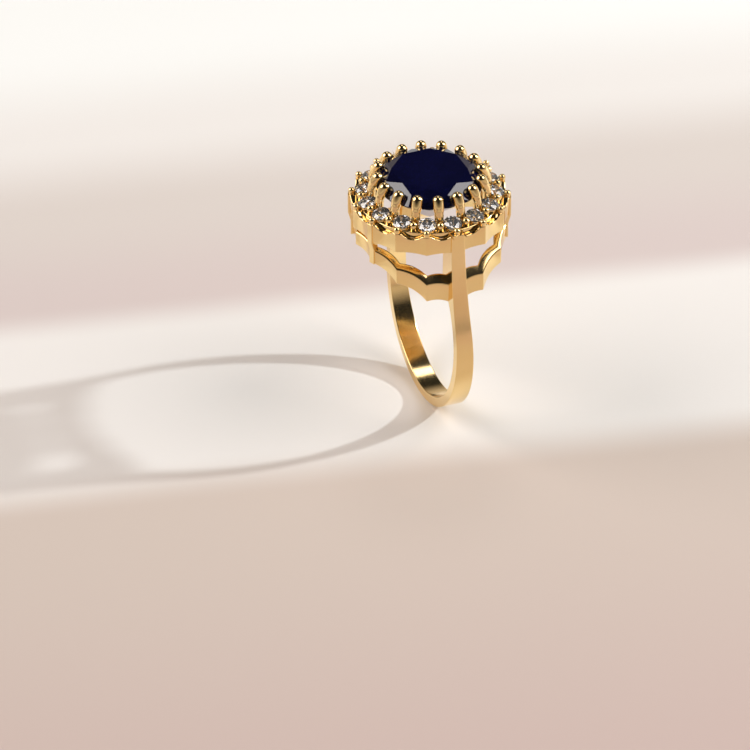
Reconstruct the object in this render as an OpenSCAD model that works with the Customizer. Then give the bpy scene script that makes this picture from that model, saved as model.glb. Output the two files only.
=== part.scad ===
// Cluster engagement ring: dark faceted centre stone in sixteen claws, a halo of
// sixteen small brilliants, two scalloped gallery rails and a flat tapered shank.
// Millimetres. +Z up, the finger passes along Y, the origin is the bore's centre.

/* [Shank] */
// Radius of the finger bore
bore_r = 8.7; // [8.5:0.05:8.8]
// Wall thickness of the hoop at its lowest point
hoop_t = 0.95; // [0.8:0.05:1.2]
// Width of the hoop along the finger at its lowest point
hoop_w = 2.1; // [1.8:0.1:2.6]
// Width of the hoop where the arms begin to rise
arm_mid_w = 1.56; // [1.4:0.02:1.8]
// Width of the arms at the head
arm_top_w = 1.26; // [1.1:0.02:1.5]
// Distance from the finger plane to the inner face of each arm
arm_in = 5.4; // [5.3:0.1:5.6]
// Angle above the horizontal where an arm leaves the round hoop
flare = 17; // [15:1:19]

/* [Head] */
// Number of small stones, claws and outer prongs
count = 16; // [16:1:16]
// Height of the small stones' girdle plane above the bore's centre
head_z = 13.3; // [13.2:0.05:13.6]
// Radius of the circle through the small stones' centres
halo_r = 6.25; // [6.2:0.01:6.3]
// Radius of the upper rail at its ridges
ridge_r = 7.7; // [7.65:0.05:7.8]
// Radial depth of the hollows between the ridges
scallop = 0.35; // [0.2:0.05:0.4]

/* [Stones] */
// Diameter of the centre stone
stone_d = 10.3; // [9.8:0.1:10.4]
// Height of the centre stone's girdle above the small stones' girdles
stone_rise = 1.0; // [0.95:0.05:1.2]
// Diameter of each small stone
small_d = 1.74; // [1.6:0.02:1.76]
// Angle by which each small stone tips outwards
small_tilt = 16; // [10:1:18]

/* [Hidden] */
$fn = 64;
fine = 240;

step = 360 / count;
half = step / 2;
tiny = 0.01;
big = 40;

gold = [0.86, 0.68, 0.38];
navy = [0.04, 0.04, 0.16];
clear = [0.93, 0.95, 0.98];

hoop_r = bore_r + hoop_t;

// heights of the metalwork, measured from the small stones' girdle plane
plate_top = head_z - 0.45;
plate_bottom = head_z - 1.1;
seat_top = head_z - 0.3;
rail_top = head_z - 0.55;
rail_dip = 0.5;
dip_r = 1.25;
rail_bottom = head_z - 2.55;

plate_in_r = 4.85;
wall_in_r = 6.95;

seat_r = 0.74;
seat_hole_r = 0.36;
bead_r = 0.38;
bead_ring_r = 6.52;
bead_z = head_z;
bead_foot = plate_bottom + 0.1;
prong_r = 0.33;
prong_ring_r = ridge_r - prong_r;
prong_z = head_z - 0.28;

// claws: an upright stem, then a fuller head that leans over the centre stone
claw_foot_r = 5.55;
claw_tip_ring_r = 4.97;
claw_stem_rad = 0.44;
claw_tip_rad = 0.54;
claw_knee_z = head_z + 0.75;
claw_tip_z = head_z + 1.8;

// lower rail: follows the finger underneath and a flatter arc on top
low_ridge_r = ridge_r - 0.25;
low_wall = 0.8;
low_top_r = 9.6;
low_top_z = head_z - 12.68;
low_gap = 0.05;

post_w = 0.64;
post_in_top = 7.05;
post_in_low = 6.8;
post_out_top = ridge_r + 0.03;
post_out_low = low_ridge_r + 0.03;
post_bend_z = head_z - 3.45;
post_low_z = head_z - 7;

// the arms and posts stand in shallow slots outside these radii, so each rail runs on behind
slot_r = 7.3;
low_slot_r = 7.05;
post_index = [3, 5, 11, 13];

// arm outline: a straight run tangent to the hoop, then a reverse curve to the head
arm_top_x = ridge_r + 0.04;
arm_curve_top = head_z - 1.1;
arm_curve_r = (arm_top_x * cos(flare) + arm_curve_top * sin(flare) - hoop_r) / (1 - cos(flare));
arm_curve_x = arm_top_x + arm_curve_r;
arm_low_x = hoop_r * cos(flare);
arm_low_z = hoop_r * sin(flare);
arm_bend_x = arm_curve_x - arm_curve_r * cos(flare);
arm_bend_z = arm_curve_top - arm_curve_r * sin(flare);
arm_mid_z = 4.5;

// centre stone proportions, as shares of its radius or millimetres
stone_r = stone_d / 2;
stone_turn = -4.5;
stone_z = head_z + stone_rise;
stone_table = 0.7;
stone_star = 0.86;
stone_crown = 1.25;
stone_belt = 0.14;
stone_pav = 4.0;
stone_low = 0.24;

small_r = small_d / 2;
small_table = 0.56;
small_star = 0.78;
small_crown = 0.25;
small_belt = 0.05;
small_pav = 0.7;
small_low = 0.24;

function two(i) = i < 10 ? str("0", i) : str(i);

// ---- brilliant cut, built from its proportions ----

// point at radius r, angle a, height z
function at(r, a, z) = [r * cos(a), r * sin(a), z];

// height of the plane through three points, above the point (x, y)
function plane_z(p, q, s, x, y) =
    let (n = cross(q - p, s - p))
    p[2] - (n[0] * (x - p[0]) + n[1] * (y - p[1])) / n[2];

// facet junction height on a main facet that runs from (r0, z0) to (r1, z1)
function main_z(r, r0, z0, r1, z1) = z0 + (r0 - r * cos(22.5)) * (z1 - z0) / (r0 - r1);

// one girdle edge: 32 points, those inside a half facet lie in its plane
function belt(r, z, jr, jz) =
    [for (i = [0:31])
        let (a = i * 11.25)
        i % 2 == 0 ? at(r, a, z)
        : let (k = floor(i / 2), j = floor(i / 4))
          at(r, a, plane_z(at(jr, 22.5 + j * 45, jz), at(r, k * 22.5, z),
                           at(r, (k + 1) * 22.5, z), r * cos(a), r * sin(a)))];

module brilliant(r, table, star, crown, belt_h, pav, low) {
    zt = belt_h / 2 + crown;
    zc = -belt_h / 2 - pav;
    zs = main_z(star * r, r, belt_h / 2, table * r, zt);
    zl = main_z(low * r, r, -belt_h / 2, 0, zc);
    tab = [for (k = [0:7]) at(table * r, k * 45, zt)];
    str8 = [for (k = [0:7]) at(star * r, 22.5 + k * 45, zs)];
    up = belt(r, belt_h / 2, star * r, zs);
    dn = belt(r, -belt_h / 2, low * r, zl);
    jun = [for (k = [0:7]) at(low * r, 22.5 + k * 45, zl)];
    pts = concat(tab, str8, up, dn, jun, [[0, 0, zc]]);
    s0 = 8;
    u0 = 16;
    d0 = 48;
    j0 = 80;
    c0 = 88;
    faces = concat(
        [[for (k = [7:-1:0]) k]],
        [for (k = [0:7]) [k, (k + 1) % 8, s0 + k]],
        [for (k = [0:7]) [k, s0 + k, u0 + 4 * k, s0 + (k + 7) % 8]],
        [for (k = [0:7]) [s0 + k, u0 + 4 * k + 2, u0 + 4 * k + 1, u0 + 4 * k]],
        [for (k = [0:7]) [s0 + k, u0 + (4 * k + 4) % 32, u0 + 4 * k + 3, u0 + 4 * k + 2]],
        [for (i = [0:31]) [u0 + i, u0 + (i + 1) % 32, d0 + (i + 1) % 32, d0 + i]],
        [for (k = [0:7]) [j0 + k, d0 + 4 * k, d0 + 4 * k + 1, d0 + 4 * k + 2]],
        [for (k = [0:7]) [j0 + k, d0 + 4 * k + 2, d0 + 4 * k + 3, d0 + (4 * k + 4) % 32]],
        [for (k = [0:7]) [c0, j0 + (k + 7) % 8, d0 + 4 * k, j0 + k]]
    );
    polyhedron(points = pts, faces = faces, convexity = 2);
}

// round body that just holds a brilliant, used to cut its seats
module envelope(r, table, star, crown, belt_h, pav, low) {
    zt = belt_h / 2 + crown;
    zc = -belt_h / 2 - pav;
    zs = main_z(star * r, r, belt_h / 2, table * r, zt);
    zl = main_z(low * r, r, -belt_h / 2, 0, zc);
    rotate_extrude()
        polygon([[0, zc], [low * r, zl], [r, -belt_h / 2], [r, belt_h / 2],
                 [star * r, zs], [table * r, zt], [0, zt]]);
}

module stone_space() {
    translate([0, 0, stone_z])
        envelope(stone_r, stone_table, stone_star, stone_crown, stone_belt, stone_pav, stone_low);
}

module small_space(i) {
    rotate([0, 0, i * step])
        translate([halo_r, 0, head_z])
            rotate([0, small_tilt, 0])
                envelope(small_r, small_table, small_star, small_crown, small_belt, small_pav, small_low);
}

// ---- stones ----

module sapphire() {
    color(navy)
        translate([0, 0, stone_z])
            rotate([0, 0, stone_turn])
                brilliant(stone_r, stone_table, stone_star, stone_crown, stone_belt, stone_pav, stone_low);
}

module diamond(i) {
    color(clear)
        rotate([0, 0, i * step])
            translate([halo_r, 0, head_z])
                rotate([0, small_tilt, 0])
                    brilliant(small_r, small_table, small_star, small_crown, small_belt,
                              small_pav, small_low);
}

// ---- scalloped outline: crisp ridges in line with the small stones ----

module outline(r, depth) {
    chord = r * sin(half);
    sag = r * cos(half) - (r - depth);
    arc_r = (chord * chord + sag * sag) / (2 * sag);
    difference() {
        circle(r = r + depth, $fn = fine);
        for (i = [0:count - 1])
            rotate([0, 0, (i + 0.5) * step])
                translate([r - depth + arc_r, 0])
                    circle(r = arc_r, $fn = fine);
    }
}

// ---- rails, posts and shank ----

module post_bar(k) {
    rotate([0, 0, k * step])
        rotate([90, 0, 0])
            translate([0, 0, -post_w / 2])
                linear_extrude(height = post_w)
                    polygon([[post_in_top, rail_top], [post_out_top, rail_top],
                             [post_out_top, rail_bottom], [post_out_low, post_bend_z],
                             [post_out_low, post_low_z], [post_in_low, post_low_z]]);
}

module finger(extra) {
    rotate([90, 0, 0])
        cylinder(r = bore_r + extra, h = big, center = true, $fn = fine);
}

module core(r) {
    cylinder(r = r, h = head_z, $fn = fine);
}

module arm_shape() {
    difference() {
        polygon([[arm_in, 0], [hoop_r * cos(flare / 2), 0], [arm_low_x, arm_low_z],
                 [arm_bend_x, arm_bend_z], [arm_top_x, arm_curve_top], [arm_top_x, rail_top],
                 [wall_in_r, rail_top], [wall_in_r, plate_bottom], [arm_in, plate_bottom]]);
        translate([arm_curve_x, arm_curve_top])
            circle(r = arm_curve_r, $fn = fine);
    }
}

module shank_body() {
    intersection() {
        rotate([90, 0, 0])
            translate([0, 0, -hoop_w])
                linear_extrude(height = 2 * hoop_w)
                    difference() {
                        union() {
                            circle(r = hoop_r, $fn = fine);
                            arm_shape();
                            mirror([1, 0])
                                arm_shape();
                        }
                        circle(r = bore_r, $fn = fine);
                        translate([-arm_in, 0])
                            square([2 * arm_in, big]);
                    }
        rotate([90, 0, 90])
            translate([0, 0, -big / 2])
                linear_extrude(height = big)
                    polygon([[-hoop_w / 2, -hoop_r - 1], [hoop_w / 2, -hoop_r - 1],
                             [arm_mid_w / 2, arm_mid_z], [arm_top_w / 2, head_z],
                             [-arm_top_w / 2, head_z], [-arm_mid_w / 2, arm_mid_z]]);
    }
}

module halo_rail_body() {
    difference() {
        translate([0, 0, rail_bottom])
            linear_extrude(height = rail_top - rail_bottom)
                difference() {
                    outline(ridge_r, scallop);
                    circle(r = wall_in_r, $fn = fine);
                }
        for (i = [0:count - 1])
            rotate([0, 0, (i + 0.5) * step])
                translate([wall_in_r - 1, 0, rail_top - rail_dip + dip_r])
                    rotate([0, 90, 0])
                        cylinder(r = dip_r, h = 2.2);
    }
}

module gallery_rail_body() {
    difference() {
        intersection() {
            translate([0, 0, 1])
                linear_extrude(height = rail_bottom - 1)
                    difference() {
                        outline(low_ridge_r, scallop);
                        outline(low_ridge_r - low_wall, scallop);
                    }
            translate([0, 0, low_top_z])
                rotate([90, 0, 0])
                    cylinder(r = low_top_r, h = big, center = true, $fn = fine);
        }
        finger(low_gap);
    }
}

module shank() {
    color(gold)
        difference() {
            shank_body();
            intersection() {
                halo_rail_body();
                core(slot_r);
            }
            gallery_rail_body();
        }
}

module post(n) {
    color(gold)
        difference() {
            post_bar(post_index[n - 1]);
            intersection() {
                halo_rail_body();
                core(slot_r);
            }
            intersection() {
                gallery_rail_body();
                core(low_slot_r);
            }
            finger(low_gap);
        }
}

module halo_rail() {
    color(gold)
        difference() {
            halo_rail_body();
            difference() {
                union() {
                    shank_body();
                    for (k = post_index)
                        post_bar(k);
                }
                core(slot_r);
            }
        }
}

module gallery_rail() {
    color(gold)
        difference() {
            gallery_rail_body();
            difference() {
                for (k = post_index)
                    post_bar(k);
                core(low_slot_r);
            }
        }
}

// ---- setting ----

module halo_plate() {
    color(gold)
        difference() {
            union() {
                intersection() {
                    union() {
                        translate([0, 0, plate_bottom])
                            cylinder(r = wall_in_r, h = plate_top - plate_bottom, $fn = fine);
                        for (i = [0:count - 1])
                            rotate([0, 0, i * step])
                                translate([halo_r, 0, plate_bottom])
                                    cylinder(r = seat_r, h = seat_top - plate_bottom);
                    }
                    translate([0, 0, plate_bottom])
                        cylinder(r = wall_in_r, h = 3, $fn = fine);
                }
                for (i = [0:count - 1])
                    rotate([0, 0, (i + 0.5) * step])
                        translate([bead_ring_r, 0, bead_foot]) {
                            cylinder(r = bead_r - 0.04, h = bead_z - bead_foot);
                            translate([0, 0, bead_z - bead_foot])
                                sphere(r = bead_r);
                        }
            }
            translate([0, 0, plate_bottom - 1])
                cylinder(r = plate_in_r, h = 3, $fn = fine);
            for (i = [0:count - 1]) {
                small_space(i);
                rotate([0, 0, i * step])
                    translate([halo_r, 0, plate_bottom - 1])
                        cylinder(r = seat_hole_r, h = 3);
            }
        }
}

module claw(i) {
    lean = claw_foot_r - claw_tip_ring_r;
    rise = claw_tip_z - claw_knee_z;
    tilt = atan(lean / rise);
    run = rise / cos(tilt);
    color(gold)
        difference() {
            rotate([0, 0, (i - 0.5) * step]) {
                translate([claw_foot_r, 0, plate_top])
                    cylinder(r = claw_stem_rad, h = claw_knee_z - plate_top);
                translate([claw_foot_r, 0, claw_knee_z]) {
                    sphere(r = claw_stem_rad + 0.02);
                    rotate([0, -tilt, 0]) {
                        cylinder(r1 = claw_stem_rad, r2 = claw_tip_rad - 0.02, h = run);
                        translate([0, 0, run])
                            sphere(r = claw_tip_rad);
                    }
                }
            }
            stone_space();
        }
}

module prong(i) {
    color(gold)
        difference() {
            rotate([0, 0, (i - 1) * step])
                translate([prong_ring_r, 0, rail_top]) {
                    cylinder(r = prong_r - 0.04, h = prong_z - rail_top);
                    translate([0, 0, prong_z - rail_top])
                        sphere(r = prong_r);
                }
            small_space(i - 1);
            translate([0, 0, rail_top - 2])
                cylinder(r = big, h = 2);
            translate([0, 0, plate_bottom])
                cylinder(r = wall_in_r, h = plate_top - plate_bottom);
        }
}

sapphire();
halo_plate();
halo_rail();
gallery_rail();
shank();
for (i = [1:len(post_index)])
    post(i);
for (i = [1:count])
    claw(i);
for (i = [1:count])
    prong(i);
for (i = [1:count])
    diamond(i - 1);
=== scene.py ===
"""Cluster engagement ring in yellow gold: a dark blue centre stone in a halo of brilliants."""
import math
import random

import bmesh
import bpy
from mathutils import Matrix, Vector


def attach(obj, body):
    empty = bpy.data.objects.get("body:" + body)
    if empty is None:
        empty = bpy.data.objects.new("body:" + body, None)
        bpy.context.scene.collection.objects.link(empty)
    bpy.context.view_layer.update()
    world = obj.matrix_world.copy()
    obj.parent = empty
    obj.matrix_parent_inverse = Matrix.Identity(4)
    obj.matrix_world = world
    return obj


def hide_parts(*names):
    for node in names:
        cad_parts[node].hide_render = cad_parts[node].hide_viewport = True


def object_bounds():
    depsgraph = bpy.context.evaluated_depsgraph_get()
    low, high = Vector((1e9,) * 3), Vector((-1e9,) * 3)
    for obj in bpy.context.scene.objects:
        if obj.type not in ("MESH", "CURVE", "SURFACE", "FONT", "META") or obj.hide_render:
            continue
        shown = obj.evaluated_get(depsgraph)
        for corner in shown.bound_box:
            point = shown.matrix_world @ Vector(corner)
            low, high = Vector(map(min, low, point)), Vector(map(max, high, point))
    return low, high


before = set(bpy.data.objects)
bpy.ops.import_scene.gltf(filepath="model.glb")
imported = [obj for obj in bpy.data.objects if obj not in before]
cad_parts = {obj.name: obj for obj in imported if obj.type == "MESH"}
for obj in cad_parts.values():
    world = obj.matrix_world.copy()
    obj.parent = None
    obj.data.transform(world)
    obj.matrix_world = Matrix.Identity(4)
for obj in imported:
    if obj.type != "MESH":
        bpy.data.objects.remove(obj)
cad_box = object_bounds()

MM = 0.001
SEED = 16

# ---------------------------------------------------------------- sizes, in millimetres

COUNT = 16  # small stones, and the scallops, prongs and claws that go with them
STEP = 360 / COUNT
HALF = STEP / 2

BORE_R = 8.7
HOOP_R = 9.65
HOOP_W, ARM_MID_W, ARM_TOP_W = 2.1, 1.56, 1.26
ARM_MID_Z = 4.5
ARM_IN = 5.4
ARM_PROUD = 0.04
ARM_BEVEL = 0.09
FLARE = 17.0

HEAD_Z = 13.3
HALO_R = 6.25
RIDGE_R = 7.7
SCALLOP = 0.35
RIDGE_SOFT = 0.35
WALL_IN_R = 6.95
SLOT_R = 7.3
SLOT_LAP = 0.03
RAIL_TOP, RAIL_BOTTOM = HEAD_Z - 0.55, HEAD_Z - 2.55
RAIL_EDGE = 0.09
RAIL_DIP, DIP_R, DIP_BLEND = 0.5, 1.25, 0.08
PLATE_TOP, PLATE_BOTTOM = HEAD_Z - 0.45, HEAD_Z - 1.1
PLATE_EDGE, PLATE_LAP = 0.08, 0.02

LOW_RIDGE_R = RIDGE_R - 0.25
LOW_WALL = 0.8
LOW_EDGE = 0.15
LOW_TOP_R, LOW_TOP_Z = 9.6, HEAD_Z - 12.68
LOW_GAP = 0.05
LOW_SLOT_R = 7.05

POST_W = 0.64
POST_PROUD = 0.03
POST_IN_TOP, POST_IN_LOW = 7.05, 6.8
POST_IN_STEP = 0.1
POST_BEVEL = 0.06
POST_INDEX = (3, 5, 11, 13)
POST_BEND_Z = HEAD_Z - 3.45

STONE_R = 5.15
STONE_Z = HEAD_Z + 1.0
STONE_TURN = -20.6
SMALL_R = 0.87
SMALL_TILT = 16.0
# table, star and low are shares of the stone's radius. crown, belt and pav are heights.
CENTRE_CUT = {"table": 0.7, "star": 0.86, "crown": 1.25, "belt": 0.14, "pav": 4.0, "low": 0.24}
SMALL_CUT = {"table": 0.56, "star": 0.78, "crown": 0.25, "belt": 0.05, "pav": 0.7, "low": 0.24}

PLATE_IN_R = 4.85
SEAT_R, SEAT_HOLE_R, SEAT_TOP = 0.74, 0.36, HEAD_Z - 0.3
DRILL_R = SEAT_R - 0.1
DRILL_REACH = 0.5

PRONG_R = 0.33
PRONG_STEM_R = PRONG_R - 0.06
PRONG_Z = HEAD_Z - 0.28
BEAD_R = 0.38
BEAD_STEM_R = BEAD_R - 0.07
BEAD_RING_R = 6.52
BEAD_Z = HEAD_Z

CLAW_FOOT_R, CLAW_TIP_R = 5.55, 4.97
CLAW_KNEE_Z, CLAW_TIP_Z = HEAD_Z + 0.75, HEAD_Z + 1.8
CLAW_STEM_RAD, CLAW_TIP_RAD = 0.44, 0.54
CLAW_BEND = 0.3
CLAW_LEAN = 0.02
CLAW_SQUASH = 0.98

# ---------------------------------------------------------------- floor, light and view

FLOOR_HALF_M = 3.0
PAINTED_BAND_ANGLE, PAINTED_BAND_WAVER = 10.2, 1.2
# painted light and shade on the floor: a lit band under the ring, painted shade either side of it
# and a painted bright far end. Distance across the band in millimetres, from behind the ring to its
# front, and the colour
PAINTED_LIGHT_TONES = [
    (-70.0, (0.98, 0.97, 0.94)),
    (-52.0, (0.89, 0.84, 0.80)),
    (-38.0, (0.74, 0.66, 0.61)),
    (-20.5, (0.71, 0.60, 0.57)),
    (-14.5, (0.90, 0.85, 0.81)),
    (7.5, (0.90, 0.85, 0.81)),
    (14.5, (0.68, 0.57, 0.50)),
    (70.0, (0.655, 0.50, 0.455)),
]

WORLD_STRENGTH = 0.94
# height on the dome, as the sine of the elevation, and the colour there
DOME_TONES = [(0.1, (0.62, 0.54, 0.48, 1)), (0.42, (0.02, 0.02, 0.02, 1))]
# name, azimuth, elevation, distance and size in metres, brightness, colour
LAMPS = [
    ("key", 171.9, 24.5, 0.7, 0.03, 1580.0, (0.9, 1.0, 1.04)),
    ("left_box", -24, 36, 0.5, 0.42, 4.0, (1.0, 0.94, 0.9)),
    ("right_box", 160, 48, 0.5, 0.34, 4.0, (1.0, 0.94, 0.9)),
    ("far_box", 249, 54, 0.5, 0.15, 3.2, (1.0, 0.97, 0.95)),
]

VIEW_AZIMUTH, VIEW_ELEVATION, VIEW_ROLL = 69.4, 32.4, -0.37
VIEW_DISTANCE = 500.0
FRAME_WIDTH = 70.9
HEAD_RIGHT, HEAD_UP = 5.14, 17.56


def rad(a):
    return math.radians(a)


def two(i):
    return f"{i:02d}"


# ---------------------------------------------------------------- materials


class Nodes:
    """A small helper that adds and links shader nodes."""

    def __init__(self, name):
        self.material = bpy.data.materials.new(name)
        self.material.use_nodes = True
        self.tree = self.material.node_tree
        self.shader = self.tree.nodes["Principled BSDF"]

    def add(self, kind, **settings):
        node = self.tree.nodes.new(kind)
        for key, value in settings.items():
            if key in node.inputs:
                node.inputs[key].default_value = value
            else:
                setattr(node, key, value)
        return node

    def link(self, source, target):
        self.tree.links.new(source, target)

    def noise(self, scale, detail=2.0, stretch=(1, 1, 1)):
        place = self.add("ShaderNodeTexCoord")
        mapping = self.add("ShaderNodeMapping")
        mapping.inputs["Scale"].default_value = stretch
        texture = self.add("ShaderNodeTexNoise", Scale=scale, Detail=detail)
        self.link(place.outputs["Object"], mapping.inputs["Vector"])
        self.link(mapping.outputs["Vector"], texture.inputs["Vector"])
        return texture.outputs["Fac"]

    def ramp(self, source, low, high, colours):
        ramp = self.add("ShaderNodeValToRGB")
        ramp.color_ramp.elements[0].position = low
        ramp.color_ramp.elements[1].position = high
        ramp.color_ramp.elements[0].color = colours[0]
        ramp.color_ramp.elements[1].color = colours[1]
        self.link(source, ramp.inputs["Fac"])
        return ramp.outputs["Color"]

    def spread(self, source, low, high):
        spread = self.add("ShaderNodeMapRange")
        spread.inputs["To Min"].default_value = low
        spread.inputs["To Max"].default_value = high
        self.link(source, spread.inputs["Value"])
        return spread.outputs["Result"]

    def bump(self, source, strength, distance):
        bump = self.add("ShaderNodeBump")
        bump.inputs["Strength"].default_value = strength
        bump.inputs["Distance"].default_value = distance
        self.link(source, bump.inputs["Height"])
        self.link(bump.outputs["Normal"], self.shader.inputs["Normal"])


GOLD_TONES = [(0.93, 0.68, 0.31, 1), (0.97, 0.73, 0.36, 1)]


def gold_material(name, rough_low, rough_high, stretch):
    """Polished yellow gold: a faint waviness from hand polishing and slight changes in tone."""
    n = Nodes(name)
    n.shader.inputs["Metallic"].default_value = 1.0
    tone = n.ramp(n.noise(260, 3), 0.35, 0.7, GOLD_TONES)
    n.link(tone, n.shader.inputs["Base Color"])
    polish = n.spread(n.noise(1400, 4, stretch), rough_low, rough_high)
    n.link(polish, n.shader.inputs["Roughness"])
    n.bump(n.noise(900, 3, stretch), 0.12, 0.00002)
    return n.material


def stone_material(name, colour, ior, rough, clear):
    """Polished stone with a faint change in tone. clear is how much light passes through it."""
    n = Nodes(name)
    deeper = tuple(c * 0.85 for c in colour[:3]) + (1,)
    tone = n.ramp(n.noise(500, 2), 0.3, 0.7, [colour, deeper])
    n.link(tone, n.shader.inputs["Base Color"])
    n.shader.inputs["IOR"].default_value = ior
    n.shader.inputs["Roughness"].default_value = rough
    n.shader.inputs["Transmission Weight"].default_value = clear
    return n.material


GOLD = gold_material("polished_gold", 0.07, 0.16, (1, 1, 1))
GOLD_SHANK = gold_material("polished_gold_shank", 0.08, 0.20, (1, 6, 1))
GOLD_TIPS = gold_material("polished_gold_tips", 0.05, 0.12, (1, 1, 1))
SAPPHIRE = stone_material("dark_blue_stone", (0.003, 0.0035, 0.038, 1), ior=1.77, rough=0.01,
                          clear=0.4)
DIAMOND = stone_material("clear_stone", (0.99, 0.99, 1.0, 1), ior=2.42, rough=0.0, clear=0.93)

# ---------------------------------------------------------------- mesh helpers


def solid_mesh(name, verts, faces):
    """A mesh from points in millimetres, with its faces turned outwards."""
    mesh = bpy.data.meshes.new(name)
    mesh.from_pydata([Vector(v) * MM for v in verts], [], faces)
    work = bmesh.new()
    work.from_mesh(mesh)
    bmesh.ops.recalc_face_normals(work, faces=work.faces)
    work.to_mesh(mesh)
    work.free()
    return mesh


def piece(name, verts, faces, material, nodes, sharp=40, smooth=True):
    """Makes one closed piece and lets it stand for its CAD nodes."""
    mesh = solid_mesh(name, verts, faces)
    for polygon in mesh.polygons:
        polygon.use_smooth = smooth
    if smooth:
        mesh.set_sharp_from_angle(angle=rad(sharp))
    mesh.materials.append(material)
    obj = bpy.data.objects.new(name, mesh)
    bpy.context.scene.collection.objects.link(obj)
    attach(obj, "root")
    if nodes:
        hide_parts(*nodes)
    return obj


def bevel(obj, width, segments, angle):
    """Rounds every crisp edge, the way polishing does."""
    mod = obj.modifiers.new("polished_edges", "BEVEL")
    mod.width = width * MM
    mod.segments = segments
    mod.limit_method = "ANGLE"
    mod.angle_limit = rad(angle)
    mod.harden_normals = False


def turned(verts, angle):
    spin = Matrix.Rotation(rad(angle), 4, "Z")
    return [tuple(spin @ Vector(v)) for v in verts]


def tipped(verts, angle):
    spin = Matrix.Rotation(rad(angle), 4, "Y")
    return [tuple(spin @ Vector(v)) for v in verts]


def loop_faces(rings, around, closed_path=False):
    """Quads between successive rings of points, with two end caps if the path is open."""
    faces = []
    last = rings if closed_path else rings - 1
    for i in range(last):
        a, b = i * around, ((i + 1) % rings) * around
        for j in range(around):
            k = (j + 1) % around
            faces.append((a + j, b + j, b + k, a + k))
    if not closed_path:
        faces.append(tuple(range(around)))
        faces.append(tuple(range((rings - 1) * around, rings * around))[::-1])
    return faces


# ---------------------------------------------------------------- brilliant cut


def brilliant(r, table, star, crown, belt, pav, low):
    """Round brilliant: table, then eight each of stars and kites, halves, belt and pavilion."""
    table_r, star_r, low_r = table * r, star * r, low * r
    zt, zc = belt / 2 + crown, -belt / 2 - pav

    def main_z(rr, z0, r1, z1):
        return z0 + (r - rr * math.cos(rad(22.5))) * (z1 - z0) / (r - r1)

    zs, zl = main_z(star_r, belt / 2, table_r, zt), main_z(low_r, -belt / 2, 0, zc)

    def at(rr, a, z):
        return Vector((rr * math.cos(rad(a)), rr * math.sin(rad(a)), z))

    def edge(z, inner_r, inner_z):
        points = []
        for i in range(32):
            a = i * 11.25
            p = at(r, a, z)
            if i % 2:
                q = at(inner_r, 22.5 + (i // 4) * 45, inner_z)
                s, t = at(r, (i // 2) * 22.5, z), at(r, (i // 2 + 1) * 22.5, z)
                normal = (s - q).cross(t - q)
                p.z = q.z - (normal.x * (p.x - q.x) + normal.y * (p.y - q.y)) / normal.z
            points.append(p)
        return points

    verts = [at(table_r, k * 45, zt) for k in range(8)]
    verts += [at(star_r, 22.5 + k * 45, zs) for k in range(8)]
    verts += edge(belt / 2, star_r, zs) + edge(-belt / 2, low_r, zl)
    verts += [at(low_r, 22.5 + k * 45, zl) for k in range(8)] + [at(0, 0, zc)]
    s0, u0, d0, j0, c0 = 8, 16, 48, 80, 88
    faces = [tuple(range(8))]
    for k in range(8):
        m, n = (k + 1) % 8, (k + 7) % 8
        faces += [(k, s0 + k, m), (k, s0 + n, u0 + 4 * k, s0 + k)]
        faces += [(s0 + k, u0 + 4 * k, u0 + 4 * k + 1, u0 + 4 * k + 2)]
        faces += [(s0 + k, u0 + 4 * k + 2, u0 + 4 * k + 3, u0 + (4 * k + 4) % 32)]
        faces += [(j0 + k, d0 + 4 * k + 2, d0 + 4 * k + 1, d0 + 4 * k)]
        faces += [(j0 + k, d0 + (4 * k + 4) % 32, d0 + 4 * k + 3, d0 + 4 * k + 2)]
        faces += [(c0, j0 + k, d0 + 4 * k, j0 + n)]
    for i in range(32):
        m = (i + 1) % 32
        faces.append((u0 + i, d0 + i, d0 + m, u0 + m))
    return [tuple(v) for v in verts], faces


def make_stones():
    verts, faces = brilliant(STONE_R, **CENTRE_CUT)
    verts = turned([(x, y, z + STONE_Z) for x, y, z in verts], STONE_TURN)
    piece("centre_stone", verts, faces, SAPPHIRE, ["sapphire"], smooth=False)
    verts, faces = brilliant(SMALL_R, **SMALL_CUT)
    rng = random.Random(SEED)
    for i in range(COUNT):
        own = tipped(turned(verts, rng.uniform(0, 45)), SMALL_TILT)
        own = [(x + HALO_R, y, z + HEAD_Z) for x, y, z in own]
        own = turned(own, i * STEP)
        node = "diamond_" + two(i + 1)
        piece("small_stone_" + two(i + 1), own, faces, DIAMOND, [node], smooth=False)


# ---------------------------------------------------------------- scalloped rails


def scalloped(r, ridge_r, depth):
    """Radius of the outline at r degrees from a ridge: concave arcs that meet in soft ridges."""
    chord = ridge_r * math.sin(rad(HALF))
    sag = ridge_r * math.cos(rad(HALF)) - (ridge_r - depth)
    arc = (chord**2 + sag**2) / (2 * sag)
    centre = ridge_r - depth + arc
    soft = RIDGE_SOFT
    away = HALF - min(HALF, math.sqrt(r * r + soft * soft) - soft * 0.4)
    return centre * math.cos(rad(away)) - math.sqrt(arc**2 - (centre * math.sin(rad(away))) ** 2)


def rail_angles(slots):
    """Angles round a rail: close together at each ridge and at both edges of each slot."""
    near = [0, 0.2, 0.4, 0.7, 1.1, 1.7, 2.6, 3.8, 5.2, 6.8, 8.4, 10.0, HALF]
    angles = set()
    for k in range(COUNT):
        for a in near:
            angles.add(round(k * STEP + a, 4) % 360)
            angles.add(round(k * STEP - a, 4) % 360)
    for k, half_width in slots:
        for a in (half_width - 0.05, half_width + 0.05):
            angles.add(round(k * STEP + a, 4) % 360)
            angles.add(round(k * STEP - a, 4) % 360)
    return sorted(angles)


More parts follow.
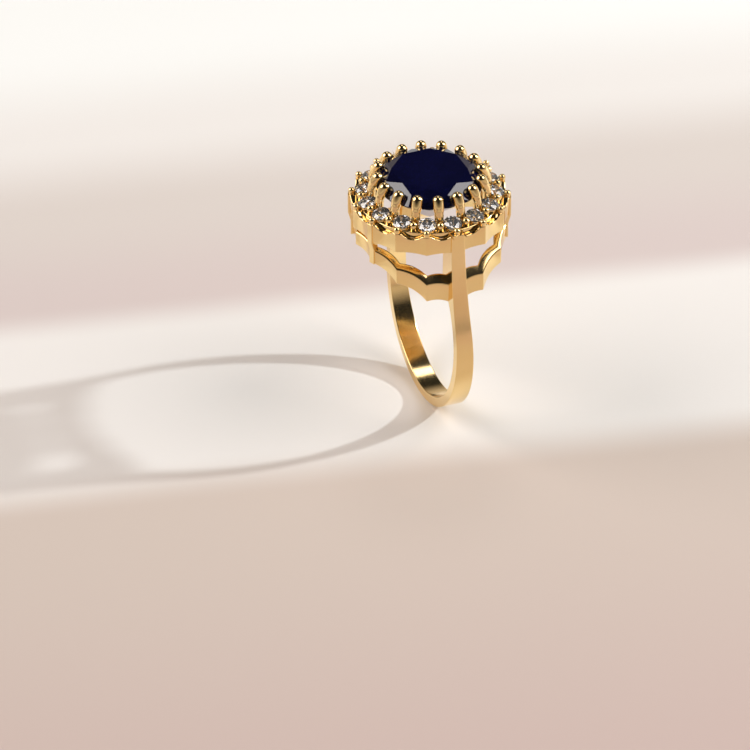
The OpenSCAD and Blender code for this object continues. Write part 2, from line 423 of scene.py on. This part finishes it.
def rail_section(inner, outer, low, high, edge, corner_steps=4):
    """Rounded rectangle between two radii. low and high give the bottom and top at a radius."""
    width = outer - inner
    height = high((inner + outer) / 2) - low((inner + outer) / 2)
    points = []
    for cx, cy, start in ((width - edge, edge, -90), (width - edge, height - edge, 0),
                          (edge, height - edge, 90), (edge, edge, 180)):
        for s in range(corner_steps + 1):
            a = rad(start + 90 * s / corner_steps)
            points.append((cx + edge * math.cos(a), cy + edge * math.sin(a)))
    section = []
    for x, t in points:
        r = inner + x
        section.append((r, low(r) + (high(r) - low(r)) * t / height))
    return section


def rail(name, node, ridge_r, inner_of, low_of, high_of, slots, slot_r, edge):
    """One scalloped rail. Its outside is cut back to slot_r where an arm or a post passes."""
    verts = []
    angles = rail_angles(slots)
    for a in angles:
        from_ridge = abs((a + HALF) % STEP - HALF)
        outer = scalloped(from_ridge, ridge_r, SCALLOP)
        for k, half_width in slots:
            if abs((a - k * STEP + 180) % 360 - 180) < half_width:
                outer = min(outer, slot_r)
        c, s = math.cos(rad(a)), math.sin(rad(a))
        section = rail_section(inner_of(from_ridge), outer, lambda r: low_of(a, r),
                               lambda r: high_of(a, r), edge)
        verts += [(r * c, r * s, z) for r, z in section]
    faces = loop_faces(len(angles), len(verts) // len(angles), closed_path=True)
    return piece(name, verts, faces, GOLD, [node], sharp=30)


def soft_min(a, b, blend):
    h = max(blend - abs(a - b), 0) / blend
    return min(a, b) - h * h * blend / 4


def make_rails():
    arm = math.degrees(math.asin((ARM_TOP_W / 2 - SLOT_LAP) / RIDGE_R))
    post = math.degrees(math.asin((POST_W / 2 - SLOT_LAP) / RIDGE_R))
    posts = [(k, post) for k in POST_INDEX]

    def halo_top(a, r):
        across = abs(r * math.sin(rad((a % STEP) - HALF)))
        dip = RAIL_TOP - RAIL_DIP + DIP_R - math.sqrt(max(DIP_R**2 - across**2, 0))
        return soft_min(dip, RAIL_TOP, DIP_BLEND)

    rail("halo_wall", "halo_rail", RIDGE_R, lambda d: WALL_IN_R, lambda a, r: RAIL_BOTTOM,
         halo_top, posts + [(0, arm), (COUNT // 2, arm)], SLOT_R, RAIL_EDGE)

    def low_inner(d):
        return scalloped(d, LOW_RIDGE_R - LOW_WALL, SCALLOP)

    def low_bottom(a, r):
        x = r * math.cos(rad(a))
        return math.sqrt((BORE_R + LOW_GAP) ** 2 - x * x)

    def low_top(a, r):
        x = r * math.cos(rad(a))
        return LOW_TOP_Z + math.sqrt(LOW_TOP_R**2 - x * x)

    rail("gallery_wall", "gallery_rail", LOW_RIDGE_R, low_inner, low_bottom, low_top,
         posts, LOW_SLOT_R, LOW_EDGE)


# ---------------------------------------------------------------- shank and posts


def arm_width(z):
    """Width of the hoop and arms at a height: it narrows upwards, more slowly above the middle."""
    if z < ARM_MID_Z:
        t = (z + HOOP_R + 1) / (ARM_MID_Z + HOOP_R + 1)
        return HOOP_W + (ARM_MID_W - HOOP_W) * t
    t = (z - ARM_MID_Z) / (HEAD_Z - ARM_MID_Z)
    return ARM_MID_W + (ARM_TOP_W - ARM_MID_W) * t


def walk(path, steps):
    """Points at even distances along a polyline, keeping both ends."""
    lengths = [0.0]
    for p, q in zip(path, path[1:]):
        lengths.append(lengths[-1] + math.dist(p, q))
    points, i = [], 0
    for s in range(steps + 1):
        want = lengths[-1] * s / steps
        while i < len(path) - 2 and lengths[i + 1] < want:
            i += 1
        span = lengths[i + 1] - lengths[i]
        t = (want - lengths[i]) / span if span else 0
        points.append(tuple(a + (b - a) * t for a, b in zip(path[i], path[i + 1])))
    return points


def arm_outlines():
    """Inner and outer outline of one arm in the XZ plane, from the bore's level to the head."""
    top_x, curve_top = RIDGE_R + ARM_PROUD, HEAD_Z - 1.1
    f = rad(FLARE)
    curve = (top_x * math.cos(f) + curve_top * math.sin(f) - HOOP_R) / (1 - math.cos(f))
    outer = [(HOOP_R * math.cos(rad(a)), HOOP_R * math.sin(rad(a))) for a in range(0, 18)]
    for s in range(1, 25):
        a = f * (1 - s / 24)
        outer.append((top_x + curve - curve * math.cos(a), curve_top - curve * math.sin(a)))
    outer.append((top_x, RAIL_TOP))
    corner = math.degrees(math.acos(ARM_IN / BORE_R))
    inner = [(BORE_R * math.cos(rad(corner * s / 24)), BORE_R * math.sin(rad(corner * s / 24)))
             for s in range(25)]
    rise = [inner[-1], (ARM_IN, PLATE_BOTTOM)]
    return walk(inner, 26) + walk(rise, 16)[1:], walk(outer, 42)


def make_shank():
    """The hoop and both arms in one piece, which ends in a step behind the halo wall."""
    inner, outer = arm_outlines()
    low = [rad(-90 + 90 * s / 60) for s in range(60)]
    pairs = [((BORE_R * math.cos(a), BORE_R * math.sin(a)),
              (HOOP_R * math.cos(a), HOOP_R * math.sin(a))) for a in low]
    right = pairs + list(zip(inner, outer))
    left = [((-p[0], p[1]), (-q[0], q[1])) for p, q in right]
    sections = left[:0:-1] + right
    verts = []
    for p, q in sections:
        wp, wq = arm_width(p[1]) / 2, arm_width(q[1]) / 2
        verts += [(p[0], -wp, p[1]), (q[0], -wq, q[1]), (q[0], wq, q[1]), (p[0], wp, p[1])]
    faces = loop_faces(len(sections), 4)[:-2]
    for end, side in ((0, -1), (len(sections) - 1, 1)):
        base = end * 4
        step_low = [(side * WALL_IN_R, y * arm_width(z) / 2, z)
                    for z in (PLATE_BOTTOM, RAIL_TOP) for y in (-1, 1)]
        n = len(verts)
        verts += step_low
        faces += [(base, n, n + 1, base + 3), (n, n + 2, n + 3, n + 1),
                  (n + 2, base + 1, base + 2, n + 3), (base, base + 1, n + 2, n),
                  (base + 3, n + 1, n + 3, base + 2)]
    obj = piece("hoop_and_arms", verts, faces, GOLD_SHANK, ["shank"], sharp=30)
    bevel(obj, ARM_BEVEL, 4, 50)


def make_posts():
    def low_z(r, k):
        x = r * math.cos(rad(k * STEP))
        return math.sqrt((BORE_R + LOW_GAP) ** 2 - x * x)

    out_top, out_low = RIDGE_R + POST_PROUD, LOW_RIDGE_R + POST_PROUD
    for n, k in enumerate(POST_INDEX):
        shape = [(POST_IN_TOP, RAIL_TOP), (out_top, RAIL_TOP), (out_top, RAIL_BOTTOM),
                 (out_low, POST_BEND_Z), (out_low, low_z(out_low, k)),
                 (POST_IN_LOW, low_z(POST_IN_LOW, k)), (POST_IN_LOW + POST_IN_STEP, POST_BEND_Z)]
        verts = [(r, y, z) for y in (-POST_W / 2, POST_W / 2) for r, z in shape]
        verts = turned(verts, k * STEP)
        obj = piece(f"gallery_post_{n + 1}", verts, loop_faces(2, len(shape)), GOLD,
                    [f"post_{n + 1}"], sharp=30)
        bevel(obj, POST_BEVEL, 3, 20)


# ---------------------------------------------------------------- claws, prongs, grains, seats


def tipped_tube(verts, rings, steps, tip):
    """Closes rings of points with a flat foot at the first ring and one tip past the last."""
    faces = loop_faces(rings, steps)[:-1]
    top = len(verts)
    start = top - steps
    faces += [(start + s, start + (s + 1) % steps, top) for s in range(steps)]
    return verts + [tip], faces


def turned_stem(profile, steps=32):
    """Lathes a profile of (radius, height) points whose last point lies on the axis."""
    verts = []
    for r, z in profile[:-1]:
        verts += [(r * math.cos(rad(360 * s / steps)), r * math.sin(rad(360 * s / steps)), z)
                  for s in range(steps)]
    return tipped_tube(verts, len(profile) - 1, steps, (0, 0, profile[-1][1]))


def ball_profile(stem_r, ball_r, foot_z, ball_z):
    """A stem that swells smoothly into a round ball tip."""
    meet = math.acos(min(1, stem_r / ball_r))
    profile = [(stem_r * 1.12, foot_z), (stem_r * 1.04, foot_z + 0.08), (stem_r, foot_z + 0.18)]
    steps = 14
    for s in range(steps + 1):
        a = -meet + (math.pi / 2 + meet) * s / steps
        profile.append((max(ball_r * math.cos(a), 0), ball_z + ball_r * math.sin(a)))
    return profile


def make_prongs():
    verts, faces = turned_stem(ball_profile(PRONG_STEM_R, PRONG_R, RAIL_TOP - 0.02, PRONG_Z))
    for i in range(COUNT):
        own = [(x + RIDGE_R - PRONG_R, y, z) for x, y, z in verts]
        piece("outer_prong_" + two(i + 1), turned(own, i * STEP), faces, GOLD_TIPS,
              ["prong_" + two(i + 1)], sharp=60)


def sweep(centres, radii, squash, steps=28):
    """Tube along points in the XZ plane, closed by its foot and its last point."""
    verts = []
    count = len(centres)
    for i, (x, z) in enumerate(centres[:-1]):
        x0, z0 = centres[max(i - 1, 0)]
        x1, z1 = centres[min(i + 1, count - 1)]
        along = Vector((x1 - x0, 0, z1 - z0)).normalized()
        across = Vector((along.z, 0, -along.x))
        for s in range(steps):
            a = rad(360 * s / steps)
            offset = across * (radii[i] * squash * math.cos(a))
            offset = offset + Vector((0, radii[i] * math.sin(a), 0))
            verts.append((x + offset.x, offset.y, z + offset.z))
    return tipped_tube(verts, count - 1, steps, (centres[-1][0], 0, centres[-1][1]))


def claw_shape(lean):
    """An upright stem, a knee with a small step at the girdle, then a full head leaning inwards."""
    foot, knee = Vector((CLAW_FOOT_R, PLATE_TOP)), Vector((CLAW_FOOT_R, CLAW_KNEE_Z))
    tip = Vector((CLAW_TIP_R + lean, CLAW_TIP_Z))
    low = knee - Vector((0, CLAW_BEND))
    high = knee + (tip - knee).normalized() * CLAW_BEND
    centres = [foot + (low - foot) * s / 5 for s in range(6)]
    radii = [CLAW_STEM_RAD - 0.02 + 0.02 * s / 5 for s in range(6)]
    for s in range(1, 9):
        t = s / 8
        centres.append(low * (1 - t) ** 2 + knee * 2 * t * (1 - t) + high * t * t)
        radii.append(CLAW_STEM_RAD - 0.03 * math.sin(math.pi * t) ** 4 + 0.03 * t)
    head = tip - high
    for share, radius in ((0.12, -0.045), (0.25, -0.02), (0.42, -0.005), (0.7, 0), (1, 0)):
        centres.append(high + head * share)
        radii.append(CLAW_TIP_RAD + radius)
    along = head.normalized()
    for s in range(1, 13):
        a = math.pi / 2 * s / 12
        centres.append(tip + along * (CLAW_TIP_RAD * math.sin(a)))
        radii.append(CLAW_TIP_RAD * math.cos(a))
    return [tuple(c) for c in centres], radii


def make_claws():
    rng = random.Random(SEED + 1)
    for i in range(COUNT):
        centres, radii = claw_shape(rng.uniform(-CLAW_LEAN, CLAW_LEAN))
        verts, faces = sweep(centres, radii, CLAW_SQUASH)
        piece("stone_claw_" + two(i + 1), turned(verts, (i + 0.5) * STEP), faces, GOLD_TIPS,
              ["claw_" + two(i + 1)], sharp=60)


def spun(section, steps):
    """Closed ring: a section of (radius, height) points turned once about the axis."""
    verts = []
    for s in range(steps):
        c, sn = math.cos(rad(360 * s / steps)), math.sin(rad(360 * s / steps))
        verts += [(r * c, r * sn, z) for r, z in section]
    return verts, loop_faces(steps, len(section), closed_path=True)


def ring_plate():
    """Flat washer with rounded edges that carries the small stones."""
    section = rail_section(PLATE_IN_R, WALL_IN_R + PLATE_LAP, lambda r: PLATE_BOTTOM,
                           lambda r: PLATE_TOP, PLATE_EDGE)
    return spun(section, 192)


def seat_ring():
    """Short open cup under one small stone, with a conical mouth for its pavilion."""
    foot = [(SEAT_HOLE_R, PLATE_BOTTOM - 0.01), (SEAT_R - 0.03, PLATE_BOTTOM - 0.01),
            (SEAT_R, PLATE_BOTTOM + 0.03)]
    lip = [(SEAT_R, SEAT_TOP - 0.05), (SEAT_R - 0.02, SEAT_TOP - 0.015),
           (SEAT_R - 0.06, SEAT_TOP), (SEAT_R - 0.1, SEAT_TOP - 0.02)]
    mouth = [(SEAT_HOLE_R, SEAT_TOP - 0.34)]
    return spun(foot + lip + mouth, 40)


def joined(parts):
    """Several (points, faces) shapes as one."""
    verts, faces = [], []
    for v, f in parts:
        start = len(verts)
        verts += v
        faces += [tuple(i + start for i in face) for face in f]
    return verts, faces


def make_plate():
    """Halo plate drilled under each stone, with its seats and the shared grains between stones."""
    verts, faces = ring_plate()
    plate = piece("halo_plate_metal", verts, faces, GOLD, ["halo_plate"], sharp=30)
    drill_v, drill_f = turned_stem([(DRILL_R, PLATE_BOTTOM - DRILL_REACH),
                                    (DRILL_R, PLATE_TOP + DRILL_REACH),
                                    (0, PLATE_TOP + DRILL_REACH)])
    drill_v = [(x + HALO_R, y, z) for x, y, z in drill_v]
    drills = [(turned(drill_v, i * STEP), drill_f) for i in range(COUNT)]
    tool = bpy.data.objects.new("drills", solid_mesh("drills", *joined(drills)))
    bpy.context.scene.collection.objects.link(tool)
    cut = plate.modifiers.new("drilled", "BOOLEAN")
    cut.operation, cut.solver, cut.object = "DIFFERENCE", "EXACT", tool
    bpy.context.view_layer.update()
    evaluated = plate.evaluated_get(bpy.context.evaluated_depsgraph_get())
    done = bpy.data.meshes.new_from_object(evaluated)
    plate.modifiers.remove(cut)
    plate.data = done
    bpy.data.objects.remove(tool)
    seat_v, seat_f = seat_ring()
    grain_v, grain_f = turned_stem(ball_profile(BEAD_STEM_R, BEAD_R, PLATE_BOTTOM + 0.1, BEAD_Z))
    for i in range(COUNT):
        own = turned([(x + HALO_R, y, z) for x, y, z in seat_v], i * STEP)
        piece("stone_seat_" + two(i + 1), own, seat_f, GOLD, ["halo_plate"],
              sharp=30)
        own = turned([(x + BEAD_RING_R, y, z) for x, y, z in grain_v], (i + 0.5) * STEP)
        piece("shared_grain_" + two(i + 1), own, grain_f, GOLD_TIPS, ["halo_plate"],
              sharp=60)


# ---------------------------------------------------------------- floor, light, camera


def floor_material():
    """Matt pale board with painted light: a soft lit band across it under the ring, with painted
    shade either side, fixed to the floor.
    """
    n = Nodes("pale_floor_painted_light")
    place = n.add("ShaderNodeTexCoord")
    across = n.add("ShaderNodeVectorMath", operation="DOT_PRODUCT")
    across.inputs[1].default_value = (math.cos(rad(PAINTED_BAND_ANGLE)), -math.sin(rad(PAINTED_BAND_ANGLE)), 0)
    n.link(place.outputs["Object"], across.inputs[0])
    waver = n.spread(n.noise(22, 2), -PAINTED_BAND_WAVER * MM, PAINTED_BAND_WAVER * MM)
    total = n.add("ShaderNodeMath", operation="ADD")
    n.link(across.outputs["Value"], total.inputs[0])
    n.link(waver, total.inputs[1])
    span = n.add("ShaderNodeMapRange")
    low, high = PAINTED_LIGHT_TONES[0][0], PAINTED_LIGHT_TONES[-1][0]
    span.inputs["From Min"].default_value = low * MM
    span.inputs["From Max"].default_value = high * MM
    n.link(total.outputs[0], span.inputs["Value"])
    # this ramp paints light and shade into the floor's colour: the lit band and the painted shade
    # beside it
    ramp = n.add("ShaderNodeValToRGB")
    ramp.color_ramp.interpolation = "EASE"
    stops = ramp.color_ramp.elements
    while len(stops) < len(PAINTED_LIGHT_TONES):
        stops.new(0.5)
    for stop, (where, colour) in zip(stops, PAINTED_LIGHT_TONES):
        stop.position = (where - low) / (high - low)
        stop.color = colour + (1,)
    n.link(span.outputs["Result"], ramp.inputs["Fac"])
    n.link(ramp.outputs["Color"], n.shader.inputs["Base Color"])
    n.shader.inputs["Roughness"].default_value = 0.55
    n.shader.inputs["Specular IOR Level"].default_value = 0.15
    n.bump(n.noise(1500, 3), 0.05, 0.00003)
    return n.material


def make_floor():
    size = FLOOR_HALF_M
    floor_z = cad_box[0][2]
    mesh = bpy.data.meshes.new("floor")
    mesh.from_pydata([(-size, -size, floor_z), (size, -size, floor_z), (size, size, floor_z),
                      (-size, size, floor_z)], [], [(0, 1, 2, 3)])
    mesh.materials.append(floor_material())
    floor = bpy.data.objects.new("floor", mesh)
    bpy.context.scene.collection.objects.link(floor)


def area_light(name, place, target, size, power, colour):
    data = bpy.data.lights.new(name, "AREA")
    data.shape = "DISK"
    data.size = size
    data.energy = power
    data.color = colour
    lamp = bpy.data.objects.new(name, data)
    lamp.location = place
    lamp.rotation_euler = (Vector(target) - Vector(place)).to_track_quat("-Z", "Y").to_euler()
    bpy.context.scene.collection.objects.link(lamp)


def direction(azimuth, elevation):
    """Unit vector from the ring towards a lamp or camera. Azimuth 0 is -Y, 90 is +X."""
    a, e = rad(azimuth), rad(elevation)
    return Vector((math.sin(a) * math.cos(e), -math.cos(a) * math.cos(e), math.sin(e)))


def box_light(name, azimuth, elevation, distance, size, brightness, colour):
    """A round softbox facing the ring. brightness is how bright its face looks."""
    ring = Vector((0, 0, HEAD_Z / 2 * MM))
    power = brightness * math.pi * math.pi * size * size / 4
    area_light(name, ring + direction(azimuth, elevation) * distance, ring, size, power, colour)


def make_light():
    """A dome, warm and bright low down and dark overhead, a small key lamp and softboxes."""
    world = bpy.data.worlds.new("soft_room")
    bpy.context.scene.world = world
    world.use_nodes = True
    tree = world.node_tree
    place = tree.nodes.new("ShaderNodeTexCoord")
    split = tree.nodes.new("ShaderNodeSeparateXYZ")
    ramp = tree.nodes.new("ShaderNodeValToRGB")
    stops = ramp.color_ramp.elements
    for stop, (height, colour) in zip(stops, DOME_TONES):
        stop.position, stop.color = height, colour
    tree.links.new(place.outputs["Generated"], split.inputs["Vector"])
    tree.links.new(split.outputs["Z"], ramp.inputs["Fac"])
    background = tree.nodes["Background"]
    tree.links.new(ramp.outputs["Color"], background.inputs["Color"])
    background.inputs["Strength"].default_value = WORLD_STRENGTH
    for lamp in LAMPS:
        box_light(*lamp)


def make_camera():
    """Long lens. The head sits right of the frame's middle and well above it."""
    back = direction(VIEW_AZIMUTH, VIEW_ELEVATION)
    head = Vector((0, 0, HEAD_Z))
    place = head + back * VIEW_DISTANCE
    right = Vector((math.cos(rad(VIEW_AZIMUTH)), math.sin(rad(VIEW_AZIMUTH)), 0))
    up = back.cross(right)
    aim = head - right * HEAD_RIGHT - up * HEAD_UP
    data = bpy.data.cameras.new("camera")
    data.sensor_width = 36.0
    data.lens = data.sensor_width * VIEW_DISTANCE / FRAME_WIDTH
    data.clip_start, data.clip_end = 0.01, 10.0
    camera = bpy.data.objects.new("camera", data)
    camera.location = place * MM
    turn = (aim - place).to_track_quat("-Z", "Y").to_matrix().to_4x4()
    camera.rotation_euler = (turn @ Matrix.Rotation(rad(VIEW_ROLL), 4, "Z")).to_euler()
    bpy.context.scene.collection.objects.link(camera)
    bpy.context.scene.camera = camera


make_stones()
make_rails()
make_shank()
make_posts()
make_prongs()
make_claws()
make_plate()
make_floor()
make_light()
make_camera()

bpy.context.scene.view_settings.view_transform = "Standard"
